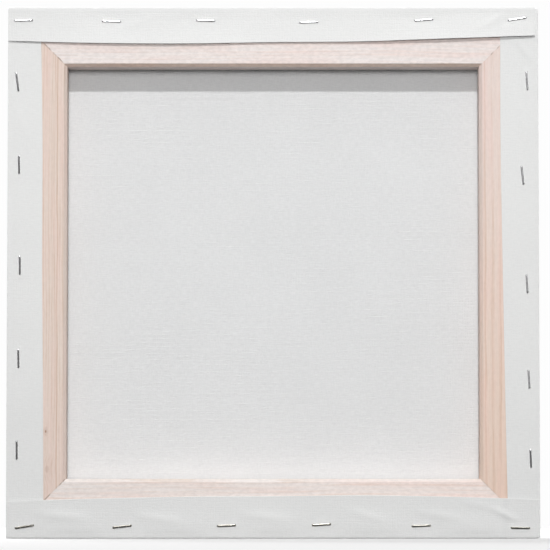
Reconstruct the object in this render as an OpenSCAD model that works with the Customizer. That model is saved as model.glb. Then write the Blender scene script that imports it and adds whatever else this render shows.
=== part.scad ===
// Back-stapled stretched canvas, 12 x 12 in, standing on its bottom edge.
// +Z is up, the painting face looks along -Y and the stapled back along +Y.
// The origin is the centre of the footprint. Left and right are as seen from the
// stapled back, so left is +X.

/* [Frame] */
// Outside width over the wrapped side edges
canvas_w = 304.8; // [250:0.1:400]
// Outside height over the wrapped top and bottom edges
canvas_h = 304.8; // [250:0.1:400]
// Width of each stretcher bar, from its outer edge to its inner edge
bar_w = 33.4; // [30:0.1:45]
// Thickness of each stretcher bar
bar_t = 17.8; // [16:0.1:25]

/* [Bar profile] */
// Width of the raised lip that carries the cloth along the outer front edge
lip_w = 5; // [4:0.5:8]
// Width of the slope that comes down from the lip
lip_slope_w = 2; // [1:0.5:4]
// Height of the slope below the lip
lip_slope_h = 1.4; // [1:0.1:2]
// How far the inner edge is set back from the cloth
front_relief = 2.6; // [2:0.1:4]
// Bevel along the inner back edge
back_bevel = 1.8; // [1:0.1:3]
// Small bevel on the outer edges that the cloth is pulled over
outer_bevel = 0.8; // [0.4:0.1:1.2]

/* [Corner joint] */
// Thickness of the tongues and slots inside each mitred corner
tongue_t = 3.4; // [3:0.1:4]
// Where the tongue starts, from the outer edge of the bar
tongue_from = 8; // [6:0.5:10]
// Where the tongue ends, from the outer edge of the bar
tongue_to = 26; // [22:0.5:27]
// How far the wide side of the tongue reaches past the mitre
tongue_reach = 14; // [10:0.5:16]
// How far the narrow side of the tongue reaches past the mitre
tongue_root = 4; // [2:0.5:5]
// Clearance between a tongue and its slot
joint_gap = 0.1; // [0.05:0.05:0.2]

/* [Cloth] */
// Thickness of the primed cotton cloth
cloth_t = 0.6; // [0.4:0.1:0.8]

/* [Staples] */
// Outside width of the crown
crown_l = 11.2; // [10:0.1:13]
// Width of the flat wire
wire_w = 1.2; // [0.9:0.1:1.4]
// Thickness of the flat wire
wire_t = 0.6; // [0.5:0.05:0.7]
// Outside length of each leg
leg_l = 8; // [6:0.5:10]
// Clearance round each leg in the cloth and wood
leg_gap = 0.05; // [0.02:0.01:0.1]

/* [Hidden] */
// The cloth's turned-over flaps: their widths at even steps along each side,
// left to right for top and bottom, and top to bottom for left and right
top_flap = [19.4, 20.6, 20.9, 20.0, 18.9, 17.4, 16.3];
bottom_flap = [21.2, 22.7, 23.8, 24.4, 24.8, 23.8, 22.2];
left_flap = [18.7, 20.0, 20.1, 20.2, 20.7];
right_flap = [22.0, 22.5, 20.9, 19.7, 18.2];

// The staples as they were driven by hand: [distance along the side, distance in
// from the outer edge, tilt in degrees]. Distances run from the left or the top.
top_row = [[8.8, 7.4, 1], [59.3, 7.9, -1.5], [113.6, 7.4, -2],
           [173, 8.4, 2], [239.2, 7.1, 4.5], [292.8, 6.6, 9]];
bottom_row = [[10.6, 6.7, 9], [66.3, 6.8, 6.5], [125.8, 7.3, 2.5],
              [180, 7.9, 4], [236.9, 7.2, 2.5], [293.4, 6, -0.5]];
left_row = [[43, 5.4, 7.5], [90.7, 6.6, 1], [148.6, 7.3, 1], [202.1, 6.7, 1], [254.4, 6, 0.5]];
right_row = [[42.4, 6.5, 3.5], [96.9, 9.3, 6], [159.2, 7, 3.5], [213.9, 6.1, 3.5], [259.1, 5.3, 2.5]];

// Planes across the thickness, from the painting face to the backs of the crowns
depth = bar_t + 3 * cloth_t + wire_t;
front_y = -depth / 2;
bar_front_y = front_y + cloth_t;
bar_back_y = bar_front_y + bar_t;
flap_y = bar_back_y + cloth_t;
corner_y = flap_y + cloth_t;

// The plane inside a bar between its two layers of tongues
joint_y = (front_relief + bar_t) / 2;
// How far a cutter runs past what it cuts
over = 1;
// How far a tongue's outline runs back into its own bar
tongue_hold = 2;
bend_steps = 5;
bend_r = 2 * wire_t;
tip_l = 1.5 * wire_t;

wood = [0.89, 0.82, 0.78];
primed_cloth = [0.91, 0.91, 0.91];
steel = [0.72, 0.72, 0.7];

// Where each staple sits: [x, z, turn about Y, plane of the cloth under the crown]
top_places = [for (s = top_row)
    [canvas_w / 2 - s[0], canvas_h - s[1], s[2], over_corner(s[0]) ? corner_y : flap_y]];
bottom_places = [for (s = bottom_row)
    [canvas_w / 2 - s[0], s[1], s[2], over_corner(s[0]) ? corner_y : flap_y]];
left_places = [for (s = left_row) [canvas_w / 2 - s[1], canvas_h - s[0], s[2] - 90, flap_y]];
right_places = [for (s = right_row) [s[1] - canvas_w / 2, canvas_h - s[0], s[2] - 90, flap_y]];
all_places = concat(top_places, bottom_places, left_places, right_places);

// A staple this near a side edge stands on the doubled cloth of a corner
function over_corner(s) = min(s, canvas_w - s) < min(min(left_flap), min(right_flap));
function last(list) = list[len(list) - 1];
function names(row, places) = [for (i = [1 : len(places)]) str("staple_", row, "_", i)];

// Points of a round bend from angle a to angle b
function bend(centre, r, a, b) = [for (i = [0 : bend_steps])
    let (t = a + (b - a) * i / bend_steps) centre + r * [cos(t), sin(t)]];

// A flap's free edge, from 0 to length, as distances in from the outer edge
function free_edge(widths, length) = [for (i = [0 : len(widths) - 1])
    [length * i / (len(widths) - 1), widths[i]]];

// Cross-section of a bar: x is in from the outer edge, y is back from the front
module bar_section() {
    polygon([
        [outer_bevel, 0],
        [lip_w, 0],
        [lip_w + lip_slope_w, lip_slope_h],
        [bar_w, front_relief],
        [bar_w, bar_t - back_bevel],
        [bar_w - back_bevel, bar_t],
        [outer_bevel, bar_t],
        [0, bar_t - outer_bevel],
        [0, outer_bevel]
    ]);
}

// A tongue past the mitre at the start of a bar, as [along the bar, in from its outer edge]
function tongue_outline(gap) = [
    [tongue_from + tongue_hold, tongue_from - gap],
    [tongue_to + tongue_hold, tongue_to + gap],
    [tongue_to - tongue_reach - gap, tongue_to + gap],
    [tongue_from - tongue_root - gap, tongue_from - gap]
];

// The slot for the neighbour's tongue is the same outline, mirrored in the mitre
function slot_outline() = [for (p = tongue_outline(joint_gap)) [p[1], p[0]]];

// One layer of an outline in the plane of the frame, from depth a to depth b
module layer(outline, a, b) {
    translate([0, b, 0]) rotate([90, 0, 0]) linear_extrude(b - a) polygon(outline);
}

// A bar along +X from its outer corner, in +Z from its outer edge, back along +Y
module plain_bar(length) {
    front_tongue = [joint_y - tongue_t + joint_gap, joint_y - joint_gap];
    back_tongue = [joint_y + joint_gap, joint_y + tongue_t - joint_gap];
    front_slot = [joint_y - tongue_t, joint_y];
    back_slot = [joint_y, joint_y + tongue_t];
    mitred = [[0, 0], [length, 0], [length - bar_w, bar_w], [bar_w, bar_w]];
    at_far_end = [[-1, 0, 0, length], [0, 1, 0, 0], [0, 0, 1, 0], [0, 0, 0, 1]];
    difference() {
        union() {
            intersection() {
                layer(mitred, 0, bar_t);
                multmatrix([[0, 0, 1, 0], [0, 1, 0, 0], [1, 0, 0, 0], [0, 0, 0, 1]])
                    linear_extrude(length) bar_section();
            }
            layer(tongue_outline(0), front_tongue[0], front_tongue[1]);
            multmatrix(at_far_end) layer(tongue_outline(0), back_tongue[0], back_tongue[1]);
        }
        layer(slot_outline(), back_slot[0], back_slot[1]);
        multmatrix(at_far_end) layer(slot_outline(), front_slot[0], front_slot[1]);
    }
}

// Holes left by staple legs in whatever the staples go through
module leg_holes(places) {
    hole = [wire_t + 2 * leg_gap, leg_l + over, wire_w + 2 * leg_gap];
    for (p = places)
        translate([p[0], p[3], p[1]]) rotate([0, p[2], 0])
            for (side = [-1, 1])
                translate([side * (crown_l - wire_t) / 2, over - hole[1] / 2, 0])
                    cube(hole, center = true);
}

// A bar set into the frame with its outer edge against the cloth, less its staple holes
module stretcher_bar(corner, turn, length, places) {
    color(wood) difference() {
        translate([corner[0], bar_front_y, corner[1]]) rotate([0, turn, 0]) plain_bar(length);
        leg_holes(places);
    }
}

bar_x = canvas_w / 2 - cloth_t;
bar_top_z = canvas_h - cloth_t;

module bar_bottom() stretcher_bar([-bar_x, cloth_t], 0, 2 * bar_x, bottom_places);
module bar_left() stretcher_bar([bar_x, cloth_t], -90, bar_top_z - cloth_t,
    concat(left_places, [top_places[0], bottom_places[0]]));
module bar_top() stretcher_bar([bar_x, bar_top_z], 180, 2 * bar_x, top_places);
module bar_right() stretcher_bar([-bar_x, bar_top_z], 90, bar_top_z - cloth_t,
    concat(right_places, [last(top_places), last(bottom_places)]));

// A sheet of cloth in the plane of the back, from depth a to depth b
module back_layer(a, b) {
    translate([0, b, 0]) rotate([90, 0, 0]) linear_extrude(b - a) children();
}

module top_flap_outline() {
    polygon(concat([[canvas_w / 2, canvas_h]],
        [for (p = free_edge(top_flap, canvas_w)) [canvas_w / 2 - p[0], canvas_h - p[1]]],
        [[-canvas_w / 2, canvas_h]]));
}

module bottom_flap_outline() {
    polygon(concat([[canvas_w / 2, 0]],
        [for (p = free_edge(bottom_flap, canvas_w)) [canvas_w / 2 - p[0], p[1]]],
        [[-canvas_w / 2, 0]]));
}

module side_flap_outline(widths) {
    polygon(concat([[canvas_w / 2, canvas_h]],
        [for (p = free_edge(widths, canvas_h)) [canvas_w / 2 - p[1], canvas_h - p[0]]],
        [[canvas_w / 2, 0]]));
}

module side_flap_outlines() {
    side_flap_outline(left_flap);
    mirror([1, 0]) side_flap_outline(right_flap);
}

// The cloth: the painting face, the wrapped edges and the flaps turned over the back.
// The top and bottom flaps lie over the side flaps at the corners.
module canvas() {
    color(primed_cloth) difference() {
        union() {
            difference() {
                back_layer(front_y, flap_y) translate([-canvas_w / 2, 0]) square([canvas_w, canvas_h]);
                back_layer(bar_front_y, flap_y + over)
                    translate([-bar_x, cloth_t]) square([2 * bar_x, bar_top_z - cloth_t]);
            }
            back_layer(bar_back_y, flap_y) {
                top_flap_outline();
                bottom_flap_outline();
                side_flap_outlines();
            }
            back_layer(flap_y, corner_y) intersection() {
                side_flap_outlines();
                union() {
                    top_flap_outline();
                    bottom_flap_outline();
                }
            }
        }
        leg_holes(all_places);
    }
}

// Half of a staple's outline, out to +X: the crown, one bend and a chisel-cut leg
function half_staple() = concat(
    [[0, wire_t]],
    bend([crown_l / 2 - bend_r, wire_t - bend_r], bend_r, 90, 0),
    [[crown_l / 2, tip_l - leg_l], [crown_l / 2 - wire_t, -leg_l]],
    bend([crown_l / 2 - bend_r, wire_t - bend_r], bend_r - wire_t, 0, 90));

// A staple driven through the cloth at a place, with its crown flat on the cloth
module staple(place) {
    outline = half_staple();
    mirrored = [for (i = [len(outline) - 1 : -1 : 1]) [-outline[i][0], outline[i][1]]];
    color(steel) translate([place[0], place[3], place[1]]) rotate([0, place[2], 0])
        linear_extrude(wire_w, center = true) polygon(concat(outline, mirrored));
}

module staples(row, places) {
    for (i = [0 : len(places) - 1])
        staple(places[i]);
}

bar_top();
bar_bottom();
bar_left();
bar_right();
canvas();
staples("top", top_places);
staples("bottom", bottom_places);
staples("left", left_places);
staples("right", right_places);
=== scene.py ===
"""A stretched canvas, seen from its stapled back: cloth and staples made round the CAD's pine bars."""
import math
from collections import namedtuple

import bmesh
import bpy
import numpy as np
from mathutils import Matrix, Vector


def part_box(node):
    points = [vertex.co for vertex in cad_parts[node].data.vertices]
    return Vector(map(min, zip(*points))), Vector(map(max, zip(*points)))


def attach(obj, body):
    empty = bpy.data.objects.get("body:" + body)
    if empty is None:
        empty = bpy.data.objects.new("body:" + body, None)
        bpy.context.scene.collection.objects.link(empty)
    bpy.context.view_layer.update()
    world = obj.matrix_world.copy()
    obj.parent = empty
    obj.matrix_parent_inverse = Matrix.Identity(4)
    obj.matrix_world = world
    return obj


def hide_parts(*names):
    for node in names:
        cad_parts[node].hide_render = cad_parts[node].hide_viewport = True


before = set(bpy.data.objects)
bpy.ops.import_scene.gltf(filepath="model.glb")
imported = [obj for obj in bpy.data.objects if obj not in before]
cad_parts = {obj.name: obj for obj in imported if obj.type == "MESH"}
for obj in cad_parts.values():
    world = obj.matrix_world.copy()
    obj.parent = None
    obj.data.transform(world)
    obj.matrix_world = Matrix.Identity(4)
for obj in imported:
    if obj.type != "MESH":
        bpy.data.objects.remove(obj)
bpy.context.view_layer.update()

# Lengths are in millimetres up to the moment that a mesh is made.
MM = 0.001


def box_mm(node):
    low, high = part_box(node)
    return np.array(low) / MM, np.array(high) / MM


# ---- The frame's own sizes -------------------------------------------------------------

CLOTH_LOW, CLOTH_HIGH = box_mm("canvas")
HALF_W = CLOTH_HIGH[0]
HEIGHT = CLOTH_HIGH[2]
FRONT_Y = CLOTH_LOW[1]
BAR_LOW, BAR_HIGH = box_mm("bar_bottom")
BAR_BACK_Y = BAR_HIGH[1]
BACK_BEVEL = 1.8        # the bars' bevel along their inner back edges
BEVEL_END_Y = BAR_BACK_Y - BACK_BEVEL
WOOD_X = BAR_HIGH[0]
WOOD_LOW_Z = BAR_LOW[2]
WOOD_HIGH_Z = box_mm("bar_top")[1][2]

# ---- The cloth's sizes -----------------------------------------------------------------

CLOTH_T = 0.36          # one layer
THREAD_PITCH = (0.88, 0.795)    # the threads' spacing, across the width and up the height
THIN_END = 0.55         # its share where the corners' folds press it
STAPLE_PLANE = 0.58     # cloth's face over the wood where a staple holds it
REST_PLANE = 0.42       # cloth's face over the wood where it lies free
CORNER_LAYER = 0.6      # a corner's side flap and ear, under the top or bottom flap
ROLL_R = 1.2            # roll over the wood's front edges, and of the corners
BACK_R = 0.6            # roll over its back edges
EAR_L = 8.0             # cloth of the side wraps that turns in under the top and bottom wraps
CUT_STRIP = 0.15        # the last row of the grid, next to a cut edge

# The flaps' widths at even steps, left to right and top to bottom: the CAD's, to within 1 mm
FLAP_W = {
    "top": [19.4, 20.6, 20.9, 20.1, 19.7, 18.0, 16.3],
    "bottom": [21.2, 22.7, 23.8, 24.1, 24.6, 23.8, 22.2],
    "left": [18.7, 20.0, 20.1, 20.9, 21.3],
    "right": [21.7, 21.8, 20.8, 19.6, 18.2],
}
# How far each flap's cut edge stands off the wood, at the same kind of steps
FLAP_LIFT = {
    "top": [0.5, 1.4, 1.5, 1.0, 1.3, 2.2, 1.1],
    "bottom": [0.1, 0.15, 0.1, 0.15, 0.2, 0.2, 0.1],
    "left": [0.1, 0.15, 0.1, 0.15, 0.1],
    "right": [0.15, 0.1, 0.2, 0.2, 0.3],
}
LIFT_REACH = 14.0       # how far in from the cut edge the lift begins
LIFT_CURL = 1.25        # how much of the lift is left to the last stretch
# Height of the cloth's loose swell between two staples
SWELL = {"top": 0.22, "bottom": 0.5, "left": 0.2, "right": 0.22}
SWELL_REACH = 6.5       # half width of a swell
STAPLE_REACH = 2.3      # how far round its crown a staple presses the cloth down
LOOSE_FROM = 1.0        # distance in from the outer edge where the cloth starts to swell and crease,
LOOSE_FULL = 5.0        # and where it does so fully
EDGE_REACH = 4.0        # how far in from the outer edge the cloth sinks to where it lies free


def smooth(low, high, x):
    """0 below low, 1 above high and smooth between."""
    t = np.clip((x - low) / (high - low), 0, 1)
    return t * t * (3 - 2 * t)


def along(stations, f):
    """A smooth curve through even stations, at f from 0 to 1."""
    p = np.concatenate([[2 * stations[0] - stations[1]], stations, [2 * stations[-1] - stations[-2]]])
    t = np.clip(np.asarray(f, float), 0, 1) * (len(stations) - 1)
    i = np.minimum(t.astype(int), len(stations) - 2)
    t = t - i
    a, b, c, d = p[i], p[i + 1], p[i + 2], p[i + 3]
    return b + 0.5 * t * (c - a + t * (2 * a - 5 * b + 4 * c - d + t * (3 * (b - c) + d - a)))


def side_share(side, x, z):
    """How far along its side a point is, from the left or the top."""
    return (HALF_W - x) / (2 * HALF_W) if side in ("top", "bottom") else (HEIGHT - z) / HEIGHT


# ---- The staples' places, from the CAD ---------------------------------------------------

CROWN_FLAT = 0.01       # how far from its highest point a staple's crown may be to count as its face


class StaplePlace:
    """Where a staple sits: its crown's centre, direction and half length, in the plane of the back."""

    def __init__(self, node):
        points = np.array([v.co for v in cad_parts[node].data.vertices], float) / MM
        self.node = node
        self.top_y = points[:, 1].max()
        crown = points[points[:, 1] > self.top_y - CROWN_FLAT][:, [0, 2]]
        self.centre = (crown.min(0) + crown.max(0)) / 2
        spread = points[:, [0, 2]] - self.centre
        self.way = np.linalg.svd(spread - spread.mean(0))[2][0]
        if self.way[np.argmax(abs(self.way))] < 0:
            self.way = -self.way
        self.half = (spread @ self.way).max()
        self.leg = self.top_y - points[:, 1].min()

    def distance(self, x, z):
        """Distance in the plane of the back from the crown's line."""
        dx, dz = x - self.centre[0], z - self.centre[1]
        t = np.clip(dx * self.way[0] + dz * self.way[1], -self.half, self.half)
        return np.hypot(dx - t * self.way[0], dz - t * self.way[1])


PLACES = [StaplePlace(n) for n in sorted(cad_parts) if n.startswith("staple_")]
STAPLE_ROWS = {side: [p for p in PLACES if p.node.startswith("staple_" + side)] for side in FLAP_W}


def near_staple(side, x, z):
    """1 under the staples of a side, and 0 away from them."""
    d = np.min([p.distance(x, z) for p in STAPLE_ROWS[side]], axis=0)
    return np.exp(-((d / STAPLE_REACH) ** 2))


def swell(side, x, z):
    """The loose swell between neighbouring staples, which fades away from their line."""
    across = side in ("top", "bottom")
    at, off = (x, z) if across else (z, x)
    k = 0 if across else 1
    row = sorted(STAPLE_ROWS[side], key=lambda p: p.centre[k])
    total = np.zeros(np.broadcast(x, z).shape)
    for a, b in zip(row, row[1:]):
        t = np.clip((at - a.centre[k]) / (b.centre[k] - a.centre[k]), 0, 1)
        line = a.centre[1 - k] + (b.centre[1 - k] - a.centre[1 - k]) * t
        total += np.sin(math.pi * t) ** 2 * np.exp(-(((off - line) / SWELL_REACH) ** 2))
    return SWELL[side] * total


# Creases that run out from staples: side, start, end, half width and height. The start and the end
# are (from the left edge, from the top edge).
CREASES = [
    ("bottom", (278, 288), (291, 294), 1.6, 0.62),
    ("bottom", (262, 284.5), (276, 287), 2.4, 0.25),
    ("bottom", (237, 290), (258, 293.5), 2.5, 0.35),
    ("bottom", (20, 291), (44, 293), 2.6, 0.45),
    ("bottom", (76, 292), (98, 295), 2.4, 0.3),
    ("bottom", (136, 291), (160, 294), 2.4, 0.3),
    ("bottom", (196, 289), (214, 294), 2.4, 0.3),
    ("top", (284, 4), (272, 12), 2.0, 0.35),
    ("top", (64, 12), (84, 6), 2.4, 0.2),
    ("right", (301, 30), (292, 18), 2.0, 0.35),
    ("right", (297, 70), (290, 48), 2.2, 0.2),
    ("left", (4, 58), (11, 74), 2.2, 0.2),
]


def creases(side, x, z):
    total = np.zeros(np.broadcast(x, z).shape)
    for where, start, end, width, height in CREASES:
        if where != side:
            continue
        a = np.array([HALF_W - start[0], HEIGHT - start[1]])
        b = np.array([HALF_W - end[0], HEIGHT - end[1]])
        way = b - a
        t = ((x - a[0]) * way[0] + (z - a[1]) * way[1]) / (way @ way)
        c = np.clip(t, 0, 1)
        d = np.hypot(x - a[0] - c * way[0], z - a[1] - c * way[1])
        # Highest in the middle, and lower but not gone at its ends
        total += height * np.sin(math.pi * (0.15 + 0.7 * c)) * np.exp(-((d / width) ** 2))
    return total


def flap_height(side, x, z, inset, width):
    """Height of a flap's face over the wood, inset from the outer edge, on a flap of that width."""
    held = near_staple(side, x, z)
    loose = (swell(side, x, z) + creases(side, x, z)) * smooth(LOOSE_FROM, LOOSE_FULL, inset)
    near_cut = np.clip(1 - (width - inset) / LIFT_REACH, 0, 1)
    lift = along(FLAP_LIFT[side], side_share(side, x, z)) * near_cut ** LIFT_CURL
    free = REST_PLANE + (STAPLE_PLANE - REST_PLANE) * np.exp(-((inset / EDGE_REACH) ** 2)) + loose + lift
    return STAPLE_PLANE * held + free * (1 - held)


# ---- Mesh helpers ------------------------------------------------------------------------

WELD_DIST = 2e-6        # in metres: the sheet's grids meet to within less than this
SLIVER = 1e-6           # in metres: an edge shorter than this is taken out


def link(name, mesh):
    piece = bpy.data.objects.new(name, mesh)
    bpy.context.scene.collection.objects.link(piece)
    return piece


def mesh_piece(name, points, faces, materials):
    """A mesh object from points in millimetres."""
    mesh = bpy.data.meshes.new(name)
    mesh.from_pydata([tuple(p) for p in np.asarray(points) * MM], [], faces)
    for m in materials:
        mesh.materials.append(m)
    return link(name, mesh)


class Surface:
    """Grids of quads that share one mesh, with the cloth's flat coordinates as its UV map, and a share
    of the cloth's thickness at each point."""

    def __init__(self):
        self.points, self.flat, self.faces, self.thickness = [], [], [], []

    def grid(self, points, flat, thickness, outward, probe):
        """points and flat are (rows, columns, n), and thickness has a value for each point. The quad at
        probe looks outward."""
        rows, columns = points.shape[:2]
        base = len(self.points)
        self.points.extend(points.reshape(-1, 3))
        self.flat.extend(flat.reshape(-1, 2))
        self.thickness.extend(np.asarray(thickness).reshape(-1))
        i, j = probe
        normal = np.cross(points[i + 1, j + 1] - points[i, j], points[i + 1, j] - points[i, j + 1])
        turned = np.dot(normal, outward) < 0
        for i in range(rows - 1):
            for j in range(columns - 1):
                near, far = base + i * columns + j, base + (i + 1) * columns + j
                quad = (near, near + 1, far + 1, far)
                self.faces.append(quad[::-1] if turned else quad)

    def piece(self, name, materials):
        made = mesh_piece(name, self.points, self.faces, materials)
        mesh = made.data
        layer = mesh.uv_layers.new(name="flat_cloth")
        flat = np.array(self.flat) * MM
        corner = np.zeros(len(mesh.loops), int)
        mesh.loops.foreach_get("vertex_index", corner)
        layer.data.foreach_set("uv", flat[corner].astype(np.float32).ravel())
        group = made.vertex_groups.new(name="thickness")
        for k, weight in enumerate(self.thickness):
            group.add([k], float(weight), "REPLACE")
        work = bmesh.new()
        work.from_mesh(mesh)
        bmesh.ops.remove_doubles(work, verts=work.verts, dist=WELD_DIST)
        bmesh.ops.dissolve_degenerate(work, edges=work.edges, dist=SLIVER)
        bmesh.ops.delete(work, geom=[v for v in work.verts if not v.link_faces], context="VERTS")
        work.to_mesh(mesh)
        work.free()
        mesh.shade_smooth()
        return made


# ---- The cloth -----------------------------------------------------------------------------
# A flat front, four rolled edges, four wraps over the sides and onto the back. The top and bottom
# wraps lie over the side wraps; at each end they fold under themselves, and the side wraps turn in
# beneath them. The front's corners are eighths of a ball.

FACE_CELLS = 76         # coarse cells across the front
FINE = 3                # columns of a wrap for each coarse cell
ARC_STEPS = 5
FLAP_ROWS = 20
WALL_SHARES = (0.04, 0.1, 0.2, 0.32, 0.5, 0.66, 0.82, 0.94)     # the rows between a wrap's two rolls
THIN_UP_TO = 3.0        # distance from a wrap's end where its folded cloth stops being thinned,
THICK_FROM = 9.0        # and where it has its full thickness
WRAP_IN = 0.06          # how far the top and bottom wraps lie inside the outline between corners
EAR_STEP = (-1.5, 2.5)      # where they step down from the ears, past the ears' slanting edges
CORNER_STEP = (-1.0, 3.5)   # where their flaps step down from the side flaps, past those flaps' cut edges

FOLD_GROWS = 5.0        # length of wall along which a corner's fold grows to its full size
FOLD_IN = 0.3           # how far a fold lies inside the outline
FOLD_ROLL = {"wall": 0.23, "flap": 0.28}
FOLD_TUCK = 5.0         # cloth that is folded under
FOLD_SLIP = {1: 0.0, -1: 1.5}   # how far a fold draws in towards the back, at the left and the right end
SLIP_REACH = 7.0        # how far from the end the cloth slips with it
TURN_STEPS = 6          # steps round a fold's turn
TUCK_SHARES = (0.25, 0.6, 1)    # points along the cloth that is folded under
FOLD_STEPS = 2 + TURN_STEPS + len(TUCK_SHARES)

EAR_STEPS = 5           # steps round an ear's turn
EAR_UNDER = 0.08        # depth of the side wraps' ends where the fold begins
EAR_PLANE = 0.55        # and where it is fully grown
EAR_ROLL = 0.5
EAR_START = 0.5         # cloth turned in at the front, from where it grows to EAR_L
EAR_ON_BACK = 0.2       # cloth turned in on the back

# Each side: the axis that it runs along, the sign of its outline and its outward way
SIDES = {
    "top": ("x", 1, (0, 0, 1)),
    "bottom": ("x", -1, (0, 0, -1)),
    "left": ("z", 1, (1, 0, 0)),
    "right": ("z", -1, (-1, 0, 0)),
}
BACK_Y = BAR_BACK_Y + STAPLE_PLANE      # the flaps' faces, where staples hold them

# One row of a wrap, across all its stations: y, how far it is in from the outline, its outward way in
# those two, its length along the cloth from the flat front, its zone, and how far through that it is
Row = namedtuple("Row", "y inset out_y out_inset length zone share")


def stations(low, high, cells):
    return low + (high - low) * np.arange(cells + 1) / cells


def on_side(side, a, inset):
    """(x, z) of a point at a along a side and inset from its outline."""
    way, sign, _ = SIDES[side]
    if way == "x":
        return a, HEIGHT - inset if sign > 0 else inset
    return (HALF_W - inset if sign > 0 else inset - HALF_W), a


def on_flat_cloth(side, a, length):
    """The same point on the flat cloth, at a length from the edge of the flat front."""
    way, sign, _ = SIDES[side]
    if way == "x":
        return a, HEIGHT - ROLL_R + length if sign > 0 else ROLL_R - length
    return sign * (HALF_W - ROLL_R + length), a


def rows(side, a):
    """A wrap's rows at the stations a, from the flat front to the cut edge, and its flap's width."""
    level = 0 * a
    width = along(FLAP_W[side], side_share(side, *on_side(side, a, level)))
    quarter = math.pi / 2
    made = []
    for k in range(ARC_STEPS + 1):
        t = quarter * k / ARC_STEPS
        made.append(Row(FRONT_Y + ROLL_R * (1 - math.cos(t)) + level, ROLL_R * (1 - math.sin(t)) + level,
                        -math.cos(t), -math.sin(t), ROLL_R * t + level, "front", k / ARC_STEPS))
    start = FRONT_Y + ROLL_R
    wall = BACK_Y - BACK_R - start
    gone = ROLL_R * quarter
    for f in WALL_SHARES:
        made.append(Row(start + wall * f + level, level, 0, -1, gone + wall * f + level, "wall", f))
    gone += wall
    for k in range(ARC_STEPS + 1):
        t = quarter * k / ARC_STEPS
        made.append(Row(BACK_Y - BACK_R * (1 - math.sin(t)) + level, BACK_R * (1 - math.cos(t)) + level,
                        math.sin(t), -math.cos(t), gone + BACK_R * t + level, "back", k / ARC_STEPS))
    gone += BACK_R * quarter
    for k in range(1, FLAP_ROWS + 2):
        inset = BACK_R + (width - CUT_STRIP - BACK_R) * k / FLAP_ROWS if k <= FLAP_ROWS else width
        made.append(Row(BACK_Y + level, inset, 1, 0, gone + inset - BACK_R, "flap", 1.0))
    return made, width


def outward_shift(side, row, a, width):
    """How far the cloth stands outward from its row's nominal line."""
    on_wall, on_back = 0 * a, 0
    if side in ("top", "bottom"):
        from_end = np.minimum(HALF_W - a, HALF_W + a)
        on_wall = -WRAP_IN * smooth(*EAR_STEP, from_end - (row.y - FRONT_Y))
        down = row.inset / HEIGHT if side == "top" else 1 - row.inset / HEIGHT
        side_flap = np.where(a > 0, along(FLAP_W["left"], down), along(FLAP_W["right"], down))
        on_back = CORNER_LAYER * (1 - smooth(*CORNER_STEP, from_end - side_flap))
    if row.zone == "front":
        return on_wall * row.share
    if row.zone == "wall":
        return on_wall
    x, z = on_side(side, a, row.inset)
    flap = flap_height(side, x, z, row.inset, width) - STAPLE_PLANE + on_back
    if row.zone == "flap":
        return flap
    t = smooth(0, 1, row.share)
    return on_wall * (1 - t) + flap * t


def fold_growth(row):
    """How much of its full size a corner's fold has at a row: none on the front and all on the back."""
    if row.zone == "wall":
        return float(smooth(0, FOLD_GROWS, row.y[0] - FRONT_Y - ROLL_R))
    return float(row.zone != "front")


def fold_line(row, side_end, edge):
    """A top or bottom wrap's folded end at one row, as points (distance inside the end's outline,
    outward), and how far it has slipped in."""
    grown = fold_growth(row)
    toward_back = float(smooth(FRONT_Y + FOLD_GROWS, BACK_Y, row.y[0]))
    slip = FOLD_SLIP[side_end] * toward_back
    roll = FOLD_ROLL["wall"] + (FOLD_ROLL["flap"] - FOLD_ROLL["wall"]) * toward_back
    turn = []
    for k in range(TURN_STEPS + 1):
        t = math.pi * k / TURN_STEPS
        turn.append((FOLD_IN + slip + roll * (1 - math.sin(t)), edge - roll * (1 - math.cos(t))))
    tuck = [(FOLD_IN + slip + roll + FOLD_TUCK * f, edge - 2 * roll) for f in TUCK_SHARES]
    begin = ROLL_R + slip
    folded = [(begin, edge), ((begin + turn[0][0]) / 2, edge), *turn, *tuck]
    # On the front the end is the edge of the corner's ball, and it turns into the fold from there
    line = []
    for k, (u, out) in enumerate(folded):
        t = math.pi / 2 * (1 - k / FOLD_STEPS)
        ball_u, ball_out = ROLL_R * (1 - math.cos(t)), -ROLL_R * (1 - math.sin(t))
        line.append((ball_u + (u - ball_u) * grown, ball_out + (out - ball_out) * grown))
    return line, slip


def ear_line(row, edge):
    """A side wrap's end at one row, where it turns in under the top or bottom wrap, as such points."""
    grown = fold_growth(row)
    plane = EAR_UNDER + (EAR_PLANE - EAR_UNDER) * grown
    roll = ROLL_R - EAR_UNDER + (EAR_ROLL - ROLL_R + EAR_UNDER) * grown
    reach = EAR_ON_BACK
    if row.zone == "wall":
        reach = min(EAR_L, EAR_START + max(0.0, row.y[0] - FRONT_Y - ROLL_R))
    turn = []
    for k in range(1, EAR_STEPS + 1):
        t = math.pi / 2 * k / EAR_STEPS
        turn.append((plane + roll * (1 - math.sin(t)), edge - roll * (1 - math.cos(t))))
    return [(ROLL_R, edge), *turn, (plane, edge - roll - reach * 0.5), (plane, edge - roll - reach)]


def end_lines(side, made, shifts, which):
    """The points of a wrap's first end (which is 0) or last end (-1) at each row, and their slips."""
    lines, slips = [], []
    for row, shift in zip(made, shifts):
        # The row at the wrap's end alone
        there = Row(*(c[[which]] if hasattr(c, "shape") else c for c in row))
        line, slip = ear_line(there, shift[which]), 0.0
        if side in ("top", "bottom"):
            line, slip = fold_line(there, 1 if which else -1, shift[which])
        lines.append(line)
        slips.append(slip)
    return lines, slips


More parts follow.
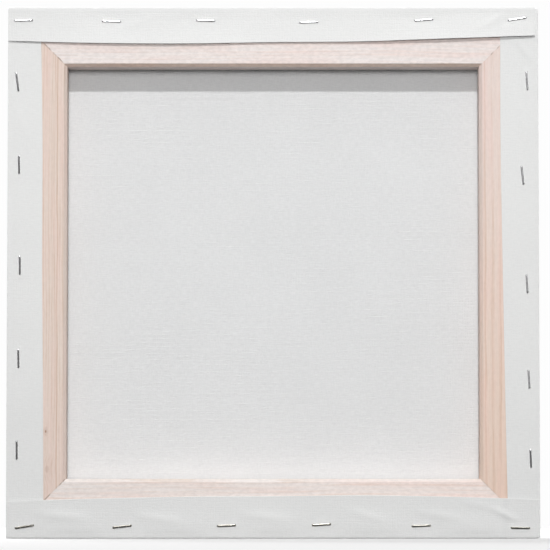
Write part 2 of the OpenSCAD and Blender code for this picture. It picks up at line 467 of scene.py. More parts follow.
def add_wrap(cloth, side):
    """A side's wrap with its two ends."""
    way, _, outward = SIDES[side]
    low, high = (-HALF_W, HALF_W) if way == "x" else (0, HEIGHT)
    a = stations(low + ROLL_R, high - ROLL_R, FACE_CELLS * FINE)
    made, width = rows(side, a)
    shifts = [outward_shift(side, row, a, width) for row in made]
    lines, slips = {}, {}
    for which in (0, -1):
        lines[which], slips[which] = end_lines(side, made, shifts, which)
    from_low, from_high = a - low, high - a
    slip_low = 1 - smooth(ROLL_R, SLIP_REACH, from_low)
    slip_high = 1 - smooth(ROLL_R, SLIP_REACH, from_high)
    thick = THIN_END + (1 - THIN_END) * smooth(THIN_UP_TO, THICK_FROM, np.minimum(from_low, from_high))
    grid, flat = [], []
    for k, (row, shift) in enumerate(zip(made, shifts)):
        moved = a + slips[0][k] * slip_low - slips[-1][k] * slip_high
        x, z = on_side(side, moved, row.inset + row.out_inset * shift)
        grid.append(np.stack([x, row.y + row.out_y * shift, z], -1))
        flat.append(np.stack([c + 0 * a for c in on_flat_cloth(side, moved, row.length)], -1))
    on_the_wall = (ARC_STEPS + 3, FACE_CELLS // 2)
    cloth.grid(np.array(grid), np.array(flat), [thick] * len(made), outward, on_the_wall)

    for which, end, inward in ((0, low, 1), (-1, high, -1)):
        grid, flat = [], []
        for row, line in zip(made[ARC_STEPS:], lines[which][ARC_STEPS:]):
            y, inset, out_y, out_inset, length = (c[which] if hasattr(c, "shape") else c for c in row[:5])
            u, out = np.array(line).T
            x, z = on_side(side, end + inward * u, inset + out_inset * out)
            grid.append(np.stack([x, y + out_y * out, z], -1))
            gone = np.concatenate([[0], np.cumsum(np.hypot(np.diff(u), np.diff(out)))])
            laid = on_flat_cloth(side, end + inward * (u[0] - gone), length)
            flat.append(np.stack([c + 0 * u for c in laid], -1))
        grid = np.array(grid)
        cloth.grid(grid, np.array(flat), THIN_END + 0 * grid[..., 0], outward, (4, 0))


def add_front(cloth):
    """The flat front: coarse cells, whose border takes the wraps' finer columns."""
    x = stations(ROLL_R - HALF_W, HALF_W - ROLL_R, FACE_CELLS)
    z = stations(ROLL_R, HEIGHT - ROLL_R, FACE_CELLS)
    fine_x = stations(ROLL_R - HALF_W, HALF_W - ROLL_R, FACE_CELLS * FINE)
    fine_z = stations(ROLL_R, HEIGHT - ROLL_R, FACE_CELLS * FINE)
    known = {}

    def at(px, pz):
        key = (round(px, 4), round(pz, 4))
        if key not in known:
            known[key] = len(cloth.points)
            cloth.points.append(np.array([px, FRONT_Y, pz]))
            cloth.flat.append(np.array([px, pz]))
            cloth.thickness.append(1.0)
        return known[key]

    def edge(coarse, fine, k, on_border):
        return fine[k * FINE:(k + 1) * FINE + 1] if on_border else coarse[k:k + 2]

    last = FACE_CELLS - 1
    for i in range(FACE_CELLS):
        for j in range(FACE_CELLS):
            ring = [at(px, z[j]) for px in edge(x, fine_x, i, j == 0)]
            ring += [at(x[i + 1], pz) for pz in edge(z, fine_z, j, i == last)[1:]]
            ring += [at(px, z[j + 1]) for px in edge(x, fine_x, i, j == last)[::-1][1:]]
            ring += [at(x[i], pz) for pz in edge(z, fine_z, j, i == 0)[::-1][1:-1]]
            cloth.faces.append(tuple(ring))


def add_corner(cloth, sx, sz):
    """An eighth of a ball at one corner of the front."""
    centre = np.array([sx * (HALF_W - ROLL_R), FRONT_Y + ROLL_R, HEIGHT - ROLL_R if sz > 0 else ROLL_R])
    turn = math.pi / 2 * (1 - np.arange(FOLD_STEPS + 1) / FOLD_STEPS)
    grid, flat = [], []
    for k in range(ARC_STEPS + 1):
        tilt = math.pi / 2 * k / ARC_STEPS
        way = np.stack([sx * math.sin(tilt) * np.cos(turn), -math.cos(tilt) + 0 * turn,
                        sz * math.sin(tilt) * np.sin(turn)], -1)
        grid.append(centre + ROLL_R * way)
        flat_way = np.stack([sx * np.cos(turn), sz * np.sin(turn)], -1)
        flat.append(centre[[0, 2]] + ROLL_R * tilt * flat_way)
    grid = np.array(grid)
    cloth.grid(grid, np.array(flat), THIN_END + 0 * grid[..., 0], (sx, -1, sz), (3, 5))


def make_cloth():
    cloth = Surface()
    for side in SIDES:
        add_wrap(cloth, side)
    add_front(cloth)
    for sx in (1, -1):
        for sz in (1, -1):
            add_corner(cloth, sx, sz)
    return cloth


# ---- Materials -------------------------------------------------------------------------------
# The factor on a coordinate that goes into a noise is the number of the noise's cells per millimetre.

COLOUR_A, COLOUR_B, COLOUR_OUT = 6, 7, 2    # a Mix node's sockets for colours
STAGE_GRAIN = 30.0      # cells per metre in the studio's own surfaces


class Shader:
    """Short ways to lay out a material's nodes. Values are node sockets or plain numbers."""

    def __init__(self, name):
        self.material = bpy.data.materials.new(name)
        self.material.use_nodes = True
        self.tree = self.material.node_tree
        self.tree.nodes.clear()
        out = self.tree.nodes.new("ShaderNodeOutputMaterial")
        self.bsdf = self.tree.nodes.new("ShaderNodeBsdfPrincipled")
        self.tree.links.new(self.bsdf.outputs[0], out.inputs["Surface"])

    def feed(self, socket, value):
        if isinstance(value, bpy.types.NodeSocket):
            self.tree.links.new(value, socket)
        elif isinstance(value, (tuple, list)) and len(value) == 3 and socket.type == "RGBA":
            socket.default_value = (*value, 1)
        else:
            socket.default_value = value

    def node(self, kind, out=0, settings=(), **inputs):
        made = self.tree.nodes.new("ShaderNode" + kind)
        for key, value in dict(settings).items():
            setattr(made, key, value)
        for key, value in inputs.items():
            self.feed(made.inputs[key.replace("_", " ")], value)
        return made.outputs[out]

    def math(self, operation, *values):
        made = self.tree.nodes.new("ShaderNodeMath")
        made.operation = operation
        for socket, value in zip(made.inputs, values):
            self.feed(socket, value)
        return made.outputs[0]

    def add(self, a, b):
        return self.math("ADD", a, b)

    def mul(self, a, b):
        return self.math("MULTIPLY", a, b)

    def ramp(self, value, low, high, to_low=0.0, to_high=1.0):
        """value from low..high to to_low..to_high, smoothly and clamped."""
        made = self.tree.nodes.new("ShaderNodeMapRange")
        made.interpolation_type = "SMOOTHSTEP"
        for socket, v in zip(made.inputs, (value, low, high, to_low, to_high)):
            self.feed(socket, v)
        return made.outputs[0]

    def mix(self, share, a, b, blend="MIX"):
        """Colour a, turning into b (or a times b, for MULTIPLY) as share goes from 0 to 1."""
        made = self.tree.nodes.new("ShaderNodeMix")
        made.data_type, made.blend_type = "RGBA", blend
        self.feed(made.inputs[0], share)
        self.feed(made.inputs[COLOUR_A], a)
        self.feed(made.inputs[COLOUR_B], b)
        return made.outputs[COLOUR_OUT]

    def times(self, colour, tint):
        return self.mix(1.0, colour, tint, "MULTIPLY")

    def split(self, vector):
        made = self.tree.nodes.new("ShaderNodeSeparateXYZ")
        self.feed(made.inputs[0], vector)
        return made.outputs

    def join(self, x, y, z):
        made = self.tree.nodes.new("ShaderNodeCombineXYZ")
        for socket, v in zip(made.inputs, (x, y, z)):
            self.feed(socket, v)
        return made.outputs[0]

    def where(self):
        """The point's x, y and z in millimetres."""
        return [self.mul(c, 1 / MM) for c in self.split(self.node("TexCoord", "Object"))]

    def noise(self, x, y, z, detail=2.0, rough=0.5):
        """Noise from about 0 to 1 at a point whose coordinates are in the noise's own units."""
        point = self.join(x, y, z)
        return self.node("TexNoise", 0, Vector=point, Scale=1.0, Detail=detail, Roughness=rough)

    def sway(self, reach, x, y, z, detail=2.0):
        """Noise about 0, with that much between its ends."""
        return self.mul(self.add(self.noise(x, y, z, detail), -0.5), reach)

    def bump(self, height, depth):
        """height, from 0 to 1, stands for depth millimetres."""
        return self.node("Bump", 0, Height=height, Distance=depth * MM, Strength=1.0)

    def grainy(self, level, darkest):
        """A grey with a fine grain, for the studio, and the point's x and y in metres."""
        x, y, z = self.split(self.node("TexCoord", "Object"))
        grain = self.noise(*(self.mul(c, STAGE_GRAIN) for c in (x, y, z)), 3.0)
        return self.mix(grain, [level] * 3, [level * darkest] * 3), x, y

    def finish(self, **inputs):
        for key, value in inputs.items():
            self.feed(self.bsdf.inputs[key.replace("_", " ")], value)
        return self.material


def canvas_material(name, colour, shade, rough, depth, primer, seed):
    """Plain-weave cotton with a relief of depth millimetres. primer, from 0 to 1, is how far a coat of
    primer fills the weave."""
    s = Shader(name)
    u, v, _ = s.split(s.node("UVMap", 0, {"uv_map": "flat_cloth"}))
    u, v = s.mul(u, 1 / MM), s.mul(v, 1 / MM)
    # The place in threads, which wander a little along their length
    wave_u = s.noise(s.mul(u, 0.5), s.mul(v, 0.06), seed)
    wave_v = s.noise(s.mul(u, 0.06), s.mul(v, 0.5), seed + 9.0)
    tu = s.add(s.mul(u, 1 / THREAD_PITCH[0]), s.mul(wave_u, 2.4))
    tv = s.add(s.mul(v, 1 / THREAD_PITCH[1]), s.mul(wave_v, 1.8))
    # The upright threads and the level ones, each over the other by turns
    warp = s.math("POWER", s.math("ABSOLUTE", s.math("SINE", s.mul(tu, math.pi))), 0.35)
    weft = s.math("POWER", s.math("ABSOLUTE", s.math("SINE", s.mul(tv, math.pi))), 0.9)
    cu = s.math("COSINE", s.mul(s.add(tu, 0.5), math.pi))
    cv = s.math("COSINE", s.mul(s.add(tv, 0.5), math.pi))
    over = s.ramp(s.mul(cu, cv), -0.35, 0.35)
    weave = s.add(s.mul(warp, over), s.mul(weft, s.math("SUBTRACT", 1.0, over)))
    # Thick and thin threads
    slub_u = s.noise(s.mul(u, 1.6), s.mul(v, 0.3), seed + 3.0)
    slub_v = s.noise(s.mul(u, 0.3), s.mul(v, 1.6), seed + 5.0)
    slubs = s.add(s.mul(slub_u, 0.4), s.mul(slub_v, 0.6))
    coat = s.noise(s.mul(u, 0.8), s.mul(v, 0.8), seed + 7.0, 4.0, 0.6)
    height = s.add(s.mul(weave, 1 - 0.55 * primer), s.add(s.mul(slubs, 0.9), s.mul(coat, 0.5 * primer)))
    # Broad clouds and the slubs vary the colour, and the gaps between threads are darkened towards the
    # shade colour as painted shade
    cloud = s.noise(s.mul(u, 0.02), s.mul(v, 0.02), seed + 11.0, 1.0)
    tone = s.add(s.mul(slubs, 1.1), s.mul(cloud, 0.25))
    base = s.mix(s.ramp(tone, 0.35, 1.0), shade, colour)
    gap = s.ramp(weave, 0.0, 0.5, 0.25 * (1 - 0.5 * primer), 0.0)
    base = s.mix(gap, base, shade)
    roughness = s.ramp(s.add(coat, s.mul(weave, 0.2)), 0.2, 0.9, rough - 0.08, rough + 0.1)
    return s.finish(Base_Color=base, Roughness=roughness, Normal=s.bump(height, depth),
                    Specular_IOR_Level=0.25, Sheen_Weight=0.15 * (1 - primer), Sheen_Roughness=0.5)


WHITE = (1, 1, 1)


def pine_material(name, way, seed, light, dark, pitch, pith, mottle=0.02, bevel=WHITE, ends=(WHITE, WHITE),
                  vigour=(1.0, 1.0), knots=(), streaks=()):
    """Planed pine, with lengths in millimetres. way is the axis that the board runs along, pitch is the
    rings' spacing and pith their centre, across the board and through it. mottle is how much lighter and
    darker the flecks are. bevel is the back bevel's tint. ends and vigour are the tints and the ring
    contrasts at the board's low and high end. knots are (along, across, radius, strength), and streaks
    (across, half width, strength)."""
    s = Shader(name)
    x, y, z = s.where()
    run, across = (x, z) if way == "x" else (z, x)
    high_end = s.ramp(run, *((-WOOD_X, WOOD_X) if way == "x" else (WOOD_LOW_Z, WOOD_HIGH_Z)))
    # Growth rings round a pith that wanders, pushed aside by the knots
    wander = s.sway(9.0, s.mul(run, 0.006), seed, 0.5, 1.0)
    ripple = s.sway(1.6, s.mul(run, 0.02), s.mul(across, 0.3), seed + 2.0)
    off = s.add(s.add(across, -pith[0]), s.add(wander, ripple))
    down = s.add(s.add(y, -pith[1]), s.mul(wander, 0.4))
    ring = s.math("SQRT", s.add(s.mul(off, off), s.mul(down, down)))
    dark_knot, swirl = 0.0, 0.0
    for k_run, k_across, radius, strength in knots:
        dr, da = s.mul(s.add(run, -k_run), 0.55), s.add(across, -k_across)
        far = s.math("SQRT", s.add(s.mul(dr, dr), s.mul(da, da)))
        halo = s.ramp(far, radius * 0.6, radius * 3.6, 1.0, 0.0)
        swirl = s.add(swirl, s.mul(halo, pitch * 1.3))
        core = s.ramp(far, radius * 0.45, radius, strength, 0.0)
        dark_knot = s.math("MAXIMUM", dark_knot, s.math("MAXIMUM", core, s.mul(halo, 0.25 * strength)))
    turn = s.math("FRACT", s.mul(s.add(ring, swirl), 1 / pitch))
    late = s.mul(s.ramp(turn, 0.35, 0.9), s.ramp(turn, 0.93, 1.0, 1.0, 0.0))
    fibre = s.noise(s.mul(run, 0.09), s.mul(across, 3.2), s.mul(y, 3.2), 3.0, 0.6)
    fine = s.noise(s.mul(run, 0.5), s.mul(across, 9.0), s.mul(y, 9.0))
    broad = s.noise(s.mul(run, 0.02), s.mul(across, 0.2), s.add(s.mul(y, 0.2), seed), 3.0)
    line = 0.0
    for centre, half, strength in streaks:
        bent = s.add(s.add(across, -centre), s.sway(3.0, s.mul(run, 0.02), seed + 4.0, 0.0))
        line = s.add(line, s.ramp(s.math("ABSOLUTE", bent), half * 0.2, half, strength, 0.0))
    # A ring is strong in one stretch and faint in another
    stretch = s.noise(s.mul(run, 0.01), s.mul(across, 0.35), seed + 6.0, 1.0)
    strong = s.ramp(stretch, 0.35, 0.65, 0.1, 0.45)
    strong = s.mul(strong, s.add(vigour[0], s.mul(high_end, vigour[1] - vigour[0])))
    grain = s.add(s.mul(late, strong), s.add(fibre, -0.35))
    amount = s.add(grain, s.add(s.mul(broad, 0.25), line))
    base = s.mix(s.ramp(amount, 0.0, 1.3), light, dark)
    tinted = s.mix(s.ramp(broad, 0.35, 0.7), base, s.mix(0.3, base, WOOD_PINK))
    tinted = s.times(tinted, s.mix(high_end, ends[0], ends[1]))
    # Short flecks, lighter and darker, lie across the grain lines
    fleck = s.noise(s.mul(run, 0.3), s.mul(across, 0.6), s.add(s.mul(y, 0.6), seed), 2.0, 0.6)
    shade = s.ramp(fleck, 0.3, 0.7, 1 + mottle, 1 - mottle)
    tinted = s.times(tinted, s.join(shade, shade, shade))
    # The mitre's glue line, which comes and goes, and is fainter at the bottom right corner
    from_side = s.math("SUBTRACT", WOOD_X, s.math("ABSOLUTE", x))
    from_end = s.math("MINIMUM", s.math("SUBTRACT", WOOD_HIGH_Z, z), s.math("SUBTRACT", z, WOOD_LOW_Z))
    off_joint = s.math("ABSOLUTE", s.math("SUBTRACT", from_side, from_end))
    filled = s.noise(s.mul(from_side, 0.3), s.mul(x, 0.02), s.mul(z, 0.02), 3.0)
    tight = s.mul(s.ramp(x, -60.0, -40.0, 1.0, 0.0), s.ramp(z, 60.0, 100.0, 1.0, 0.0))
    gap = s.mul(s.ramp(filled, 0.4, 0.64, 0.05, 0.7), s.add(1.0, s.mul(tight, -0.65)))
    joint = s.mul(s.ramp(off_joint, 0.25, 0.75, 1.0, 0.0), gap)
    # The back bevel is cut across other rings and takes a tint of its own; on the top bar that tint is
    # painted shade, darker and browner on a bevel that faces down, away from the light
    under_face = s.ramp(y, BAR_BACK_Y - 0.25, BAR_BACK_Y - 0.1, 1.0, 0.0)
    on_bevel = s.mul(under_face, s.ramp(y, BEVEL_END_Y - 0.3, BEVEL_END_Y))
    tinted = s.mix(on_bevel, tinted, s.times(tinted, bevel))
    knotted = s.mix(dark_knot, tinted, WOOD_KNOT)
    final = s.mix(joint, knotted, WOOD_JOINT)
    height = s.add(s.mul(fibre, 0.7), s.add(s.mul(fine, 0.4), s.mul(late, 0.35)))
    rough = s.ramp(s.add(fibre, s.mul(late, -0.3)), 0.1, 0.9, 0.5, 0.72)
    return s.finish(Base_Color=final, Roughness=rough, Normal=s.bump(height, 0.06), Specular_IOR_Level=0.3)


def wire_material(name, bright, dull, roughest):
    """Drawn steel wire with dull patches."""
    s = Shader(name)
    point = s.where()
    drawn = s.noise(*(s.mul(c, 5.0) for c in point), 4.0, 0.6)
    cloudy = s.noise(*(s.mul(c, 0.7) for c in point), 3.0)
    base = s.mix(s.ramp(cloudy, 0.4, 0.7), bright, dull)
    rough = s.ramp(drawn, 0.2, 0.8, roughest - 0.08, roughest)
    return s.finish(Base_Color=base, Metallic=1.0, Roughness=rough, Normal=s.bump(drawn, 0.0012))


# Linear colours. A cloth's second colour is its darker tone, and also the painted shade in the gaps of its
# weave
PRIMED = (0.818, 0.82, 0.813)
PRIMED_TONE_AND_SHADE = (0.763, 0.766, 0.76)
RAW = (0.845, 0.85, 0.853)
RAW_TONE_AND_SHADE = (0.757, 0.762, 0.765)
WOOD_PINK = (0.83, 0.62, 0.56)
WOOD_KNOT = (0.36, 0.2, 0.13)
WOOD_JOINT = (0.3, 0.2, 0.14)
WIRE_BRIGHT = (0.86, 0.86, 0.87)
WIRE_DULL = (0.66, 0.66, 0.67)
# Darker, browner steel for the bottom row: partly tarnish, partly painted shade
TARNISH_AND_SHADE_BRIGHT = (0.5, 0.48, 0.43)
TARNISH_AND_SHADE_DULL = (0.38, 0.36, 0.31)


# ---- The pieces ------------------------------------------------------------------------------

primed = canvas_material(
    "primed_canvas", PRIMED, PRIMED_TONE_AND_SHADE, rough=0.62, depth=0.12, primer=0.8, seed=1.0)
raw = canvas_material(
    "raw_canvas", RAW, RAW_TONE_AND_SHADE, rough=0.78, depth=0.2, primer=0.15, seed=4.0)

cloth = make_cloth().piece("canvas_cloth", [primed, raw])
thicken = cloth.modifiers.new("thickness", "SOLIDIFY")
thicken.thickness = CLOTH_T * MM
thicken.offset = -1
thicken.vertex_group = "thickness"
# The inner face and the cut edges take the second material
thicken.material_offset = 1
thicken.material_offset_rim = 1
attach(cloth, "root")
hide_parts("canvas")

BAR_WELD = 1e-5         # in metres: the CAD mesh's points that are taken as one
BAR_ROUND = 0.28        # width of the bevel on the bars' edges
BAR_EDGE = 25           # the least angle of an edge that has it, in degrees
BARS = {
    # The top bar's bevel tint is painted shade: it darkens a bevel that faces down, away from the light
    "bar_top": pine_material(
        "pine_top", "x", seed=3.0, light=(0.845, 0.795, 0.77), dark=(0.775, 0.66, 0.6), pitch=1.5,
        pith=(330.0, -40.0), mottle=0.06, bevel=(0.91, 0.8, 0.72),
        ends=((0.985, 0.975, 0.98), (0.975, 0.965, 0.97))),
    "bar_bottom": pine_material(
        "pine_bottom", "x", seed=8.0, light=(0.83, 0.755, 0.725), dark=(0.72, 0.57, 0.485), pitch=1.7,
        pith=(-20.0, -50.0), mottle=0.055, bevel=(0.94, 0.96, 0.96),
        ends=((1.08, 1.075, 1.075), (1.02, 1.05, 1.06))),
    "bar_left": pine_material(
        "pine_left", "z", seed=13.0, light=(0.775, 0.67, 0.595), dark=(0.61, 0.44, 0.325), pitch=1.4,
        pith=(195.0, -30.0), ends=((1.02, 1.02, 1.04), (1.0, 0.985, 1.0)),
        knots=[(61.0, 129.9, 0.6, 0.9), (39.5, 129.2, 1.6, 0.25)],
        streaks=[(123.9, 0.5, 0.5), (126.4, 0.4, 0.3)]),
    "bar_right": pine_material(
        "pine_right", "z", seed=21.0, light=(0.785, 0.67, 0.6), dark=(0.64, 0.46, 0.35), pitch=1.6,
        pith=(-100.0, -55.0), ends=((1.05, 0.99, 0.945), (1.02, 1.035, 1.085)), vigour=(1.3, 0.3),
        streaks=[(-121.6, 0.5, 0.3), (-125.6, 0.5, 0.2)]),
}
for name, material in BARS.items():
    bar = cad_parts[name]
    bar.data.materials.clear()
    bar.data.materials.append(material)
    weld = bar.modifiers.new("weld", "WELD")
    weld.merge_threshold = BAR_WELD
    edge = bar.modifiers.new("edge", "BEVEL")
    edge.width = BAR_ROUND * MM
    edge.segments = 2
    edge.limit_method = "ANGLE"
    edge.angle_limit = math.radians(BAR_EDGE)
    edge.harden_normals = True


WIRE_T = 0.6
WIRE_W = 1.2
WIRE_BEND = 0.6         # radius of the bends, along the wire's middle
BEND_STEPS = 4
LEG_JOINT = 3.0         # depth of a leg's one point between its tip and its bend
CROWN_STEP = 0.12       # spacing of the crown's points next to a bend
CROWN_POINTS = (1, 3, 5)
SECTION_STEPS = 16
SQUARED = (0.75, 0.9)   # how square the section is, across and through the wire: 1 is an ellipse
# How far the crowns are tipped to face up, between their bends, in degrees: along each row
LEAN = {"top": [11.0, 10.0, 11.0, 12.0, 11.0, 11.0], "bottom": [-4.0, -2.0, 2.0, 5.0, -8.0, -14.0]}
LEAN_FADE = 4 * CROWN_STEP      # length over which it is lost towards a bend
SCUFFED = ("staple_right_1", "staple_right_2", "staple_right_3", "staple_right_4")


def wire_path(spot):
    """A staple's centre line, up one leg, along the crown and down the other, as (along the crown, y),
    and the half length of the crown's flat part."""
    deep = spot.top_y - WIRE_T / 2
    reach = spot.half - WIRE_T / 2
    line = [(-reach, deep - spot.leg + WIRE_T), (-reach, deep - LEG_JOINT), (-reach, deep - WIRE_BEND)]
    for k in range(1, BEND_STEPS + 1):
        t = math.pi / 2 * k / BEND_STEPS
        line.append((-reach + WIRE_BEND * (1 - math.cos(t)), deep - WIRE_BEND + WIRE_BEND * math.sin(t)))
    # The crown's own points keep its shading straight between the bends
    crown = [(-reach + WIRE_BEND + k * CROWN_STEP, deep) for k in CROWN_POINTS]
    line += crown
    return np.array([*line, (0, deep), *((-u, y) for u, y in reversed(line))]), abs(crown[0][0])


def wire_section():
    """The outline of a flat wire with rounded edges, as (across, through)."""
    section = []
    for k in range(SECTION_STEPS):
        t = 2 * math.pi * k / SECTION_STEPS
        w = math.copysign(abs(math.cos(t)) ** SQUARED[0], math.cos(t))
        h = math.copysign(abs(math.sin(t)) ** SQUARED[1], math.sin(t))
        section.append((w * WIRE_W / 2, h * WIRE_T / 2))
    return section


def make_staple(spot, material):
    """A wire swept along its path, with its crown tipped."""
    line, flat_half = wire_path(spot)
    section = wire_section()
    across = np.array([-spot.way[1], spot.way[0]])
    if across[1] < 0:
        across = -across
    _, row, number = spot.node.split("_")
    full_lean = math.radians(LEAN[row][int(number) - 1]) if row in LEAN else 0.0
    pivot = spot.top_y - WIRE_T / 2
    points, faces = [], []
    for k, (u, y) in enumerate(line):
        a, b = line[max(k - 1, 0)], line[min(k + 1, len(line) - 1)]
        step = (b - a) / np.linalg.norm(b - a)
        normal = np.array([-step[1], step[0]])
        lean = full_lean * float(1 - smooth(flat_half, flat_half + LEAN_FADE, abs(u)))
        for w, h in section:
            pu, py = u + normal[0] * h, y + normal[1] * h - pivot
            tipped_w = w * math.cos(lean) + py * math.sin(lean)
            tipped_y = py * math.cos(lean) - w * math.sin(lean)
            x, z = spot.centre + spot.way * pu + across * tipped_w
            points.append((x, pivot + tipped_y, z))
    n = len(section)
    for k in range(len(line) - 1):
        for j in range(n):
            faces.append((k * n + j, k * n + (j + 1) % n, (k + 1) * n + (j + 1) % n, (k + 1) * n + j))
    faces.append(tuple(range(n))[::-1])
    faces.append(tuple((len(line) - 1) * n + j for j in range(n)))
    piece = mesh_piece("wire_" + spot.node, points, faces, [material])
    work = bmesh.new()
    work.from_mesh(piece.data)
    bmesh.ops.recalc_face_normals(work, faces=work.faces)
    work.to_mesh(piece.data)
    work.free()
    piece.data.shade_smooth()
    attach(piece, "root")
    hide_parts(spot.node)


bright_steel = wire_material("bright_steel", WIRE_BRIGHT, WIRE_DULL, roughest=0.36)
scuffed_steel = wire_material("scuffed_steel", WIRE_BRIGHT, WIRE_DULL, roughest=0.5)
# The bottom row's steel is darker and browner: partly tarnish, partly painted shade for wires that catch
# less light
tarnished_and_shaded_steel = wire_material("tarnished_and_shaded_steel", TARNISH_AND_SHADE_BRIGHT, TARNISH_AND_SHADE_DULL, roughest=0.36)
for spot in PLACES:
    steel = scuffed_steel if spot.node in SCUFFED else bright_steel
    make_staple(spot, tarnished_and_shaded_steel if "bottom" in spot.node else steel)


# ---- The studio, in metres --------------------------------------------------------------------

BACKDROP = 0.985        # what the camera sees beyond the floor
FLOOR = 0.96
FLOOR_GRAIN = 0.99      # the darkest share of that
FLOOR_HALF = 20
FLOOR_NEAR, FLOOR_FAR = 0.7, 2.2    # where the floor starts to turn into the backdrop, and where it has

# A dark band round the horizon, on all sides but the front, that only reflections see, so that steel
# wire isn't lost against the white cloth
BAND = 0.12
BAND_GRAIN = 0.985
BAND_R = 3.0
BAND_TURN = 105         # how far it reaches to each side of straight behind, in degrees
BAND_STEPS = 32
BAND_Z = (-0.9, 1.15)

# The sky's light at levels from -1, below, through 0, the horizon, to 1, overhead
SKY = [(-1, 0.06), (-0.02, 0.06), (0.02, 0.28), (0.6, 0.28), (0.8, 0.6), (1, 0.6)]

KEY = 1.6               # a sun straight behind the canvas
KEY_UP = 37.3           # and so many degrees up
KEY_SPREAD = 3          # its width, in degrees
FILL = 106.5            # a soft spot straight behind, which steel doesn't mirror
SOFT_AT = (0.0, 2.35, 0.48)
SOFT_AIM = (0, 0, 0.36)     # over the top edge, so that it fades towards the bottom
SOFT_R = 0.35
SOFT_CONE = 33.5        # in degrees
MIDDLE = (0, 0, 0.15)   # the canvas's, which the other lamps aim at
FACE = 40.0             # a lamp for the painting face
FACE_AT = (0.9, -1.9, 1.6)
FACE_SIZE = 1.4
FLANK = 18.0            # and one for each side edge
FLANK_AT = {"l": (2.0, -0.5, 0.75), "r": (-2.0, -0.5, 0.75)}
FLANK_SIZE = 1.0


def stage_piece(name, points, faces, material):
    mesh = bpy.data.meshes.new(name)
    mesh.from_pydata(points, [], faces)
    mesh.materials.append(material)
    made = link(name, mesh)
    return made


def floor_material():
    s = Shader("floor_white")
    near, x, y = s.grainy(FLOOR, FLOOR_GRAIN)
    away = s.ramp(s.math("SQRT", s.add(s.mul(x, x), s.mul(y, y))), FLOOR_NEAR, FLOOR_FAR)
    return s.finish(Base_Color=s.mix(away, near, (0, 0, 0)), Roughness=0.9, Specular_IOR_Level=0.0,
                    Emission_Color=WHITE, Emission_Strength=s.mul(away, BACKDROP))


def band_material():
    s = Shader("band_dark")
    return s.finish(Base_Color=s.grainy(BAND, BAND_GRAIN)[0], Roughness=0.9)


def make_floor():
    corners = [(sx * FLOOR_HALF, sy * FLOOR_HALF, 0) for sx, sy in ((-1, -1), (1, -1), (1, 1), (-1, 1))]
    made = stage_piece("floor", corners, [(0, 1, 2, 3)], floor_material())
    made.visible_diffuse = made.visible_glossy = False
    return made


def make_band():
    points = []
    for k in range(BAND_STEPS + 1):
        turn = math.radians(90 - BAND_TURN + 2 * BAND_TURN * k / BAND_STEPS)
        points += [(BAND_R * math.cos(turn), BAND_R * math.sin(turn), z) for z in BAND_Z]
    faces = [(2 * k, 2 * k + 2, 2 * k + 3, 2 * k + 1) for k in range(BAND_STEPS)]
    made = stage_piece("reflected_band", points, faces, band_material())
    made.visible_camera = made.visible_diffuse = made.visible_shadow = False


def make_world():
    """Light that is graded from below to overhead, and a plain backdrop for the camera."""
    world = bpy.data.worlds.new("studio")
    bpy.context.scene.world = world
    world.use_nodes = True
    tree = world.node_tree
    tree.nodes.clear()
    direction = tree.nodes.new("ShaderNodeTexCoord")
    parts = tree.nodes.new("ShaderNodeSeparateXYZ")
    tree.links.new(direction.outputs["Generated"], parts.inputs[0])
    height = tree.nodes.new("ShaderNodeMapRange")
    height.inputs["From Min"].default_value = -1
    tree.links.new(parts.outputs["Z"], height.inputs[0])
    levels = tree.nodes.new("ShaderNodeValToRGB")
    tree.links.new(height.outputs[0], levels.inputs[0])
    stops = levels.color_ramp.elements
    stops[0].position, stops[1].position = 0.0, 1.0
    for level, _ in SKY[1:-1]:
        stops.new((level + 1) / 2)
    for stop, (_, light) in zip(stops, SKY):
        stop.color = (light, light, light, 1)
    seen = tree.nodes.new("ShaderNodeMix")
    seen.data_type = "RGBA"
    tree.links.new(tree.nodes.new("ShaderNodeLightPath").outputs["Is Camera Ray"], seen.inputs[0])
    tree.links.new(levels.outputs[0], seen.inputs[COLOUR_A])
    seen.inputs[COLOUR_B].default_value = (BACKDROP, BACKDROP, BACKDROP, 1)
    background = tree.nodes.new("ShaderNodeBackground")
    tree.links.new(seen.outputs[COLOUR_OUT], background.inputs[0])
    tree.links.new(background.outputs[0], tree.nodes.new("ShaderNodeOutputWorld").inputs[0])


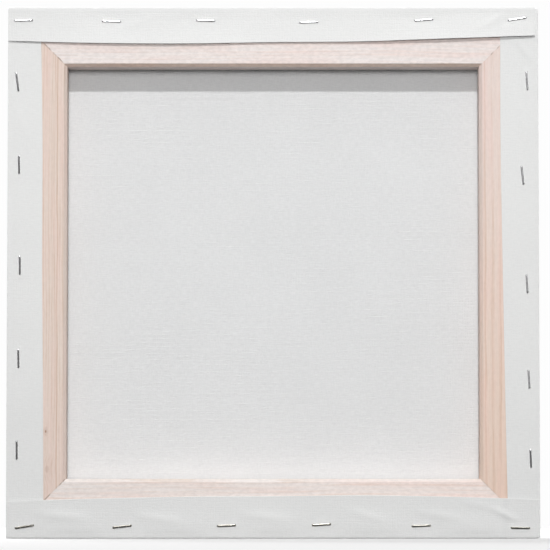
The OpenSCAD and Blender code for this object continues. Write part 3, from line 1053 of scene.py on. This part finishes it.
def lamp(name, kind, energy, at, aim=(0, 0, 0)):
    data = bpy.data.lights.new(name, kind)
    data.energy = energy
    made = bpy.data.objects.new(name, data)
    bpy.context.scene.collection.objects.link(made)
    made.location = at
    away = Vector([a - b for a, b in zip(at, aim)])
    made.rotation_euler = away.to_track_quat("Z", "Y").to_euler()
    return made


floor = make_floor()
make_band()
make_world()

key_up = math.radians(KEY_UP)
key = lamp("key", "SUN", KEY, (0, math.cos(key_up), math.sin(key_up)))
key.data.angle = math.radians(KEY_SPREAD)
soft = lamp("soft_fill", "SPOT", FILL, SOFT_AT, SOFT_AIM)
soft.data.shadow_soft_size = SOFT_R
soft.data.spot_size = math.radians(SOFT_CONE)
soft.data.spot_blend = 1.0
soft.visible_glossy = False
face = lamp("face_fill", "AREA", FACE, FACE_AT, MIDDLE)
face.data.size = FACE_SIZE
flanks = [lamp("flank_" + name, "AREA", FLANK, at, MIDDLE) for name, at in FLANK_AT.items()]
for flank in flanks:
    flank.data.size = FLANK_SIZE
# The spot and the side lamps pass the floor by, so that they draw no patch on it
unlit = bpy.data.collections.new("lamps_pass_by")
unlit.objects.link(floor)
unlit.collection_objects[0].light_linking.link_state = "EXCLUDE"
for fill in (soft, *flanks):
    fill.light_linking.receiver_collection = unlit

# ---- The camera, behind the canvas, low and looking slightly up --------------------------------

CAMERA_X = -0.0011
CAMERA_Z = 0.012
CAMERA_FAR = 2.0        # from the canvas's back
FRAME_W = 0.31427       # width of the view there, and the height of its middle
FRAME_MID_Z = 0.15051
SHIFT = 0.04
SENSOR_W = 36           # in millimetres, as the lens is
CLIP_START = 0.05
camera_data = bpy.data.cameras.new("camera")
camera_data.sensor_width = SENSOR_W
camera_data.lens = SENSOR_W * CAMERA_FAR / FRAME_W
camera_data.shift_y = SHIFT
camera_data.clip_start = CLIP_START
camera = bpy.data.objects.new("camera", camera_data)
bpy.context.scene.collection.objects.link(camera)
camera.location = (CAMERA_X, BACK_Y * MM + CAMERA_FAR, CAMERA_Z)
aim = Vector((CAMERA_X, BACK_Y * MM, FRAME_MID_Z - SHIFT * FRAME_W))
camera.rotation_euler = (camera.location - aim).to_track_quat("Z", "Y").to_euler()
bpy.context.scene.camera = camera
bpy.context.scene.view_settings.view_transform = "Standard"

bpy.context.view_layer.update()
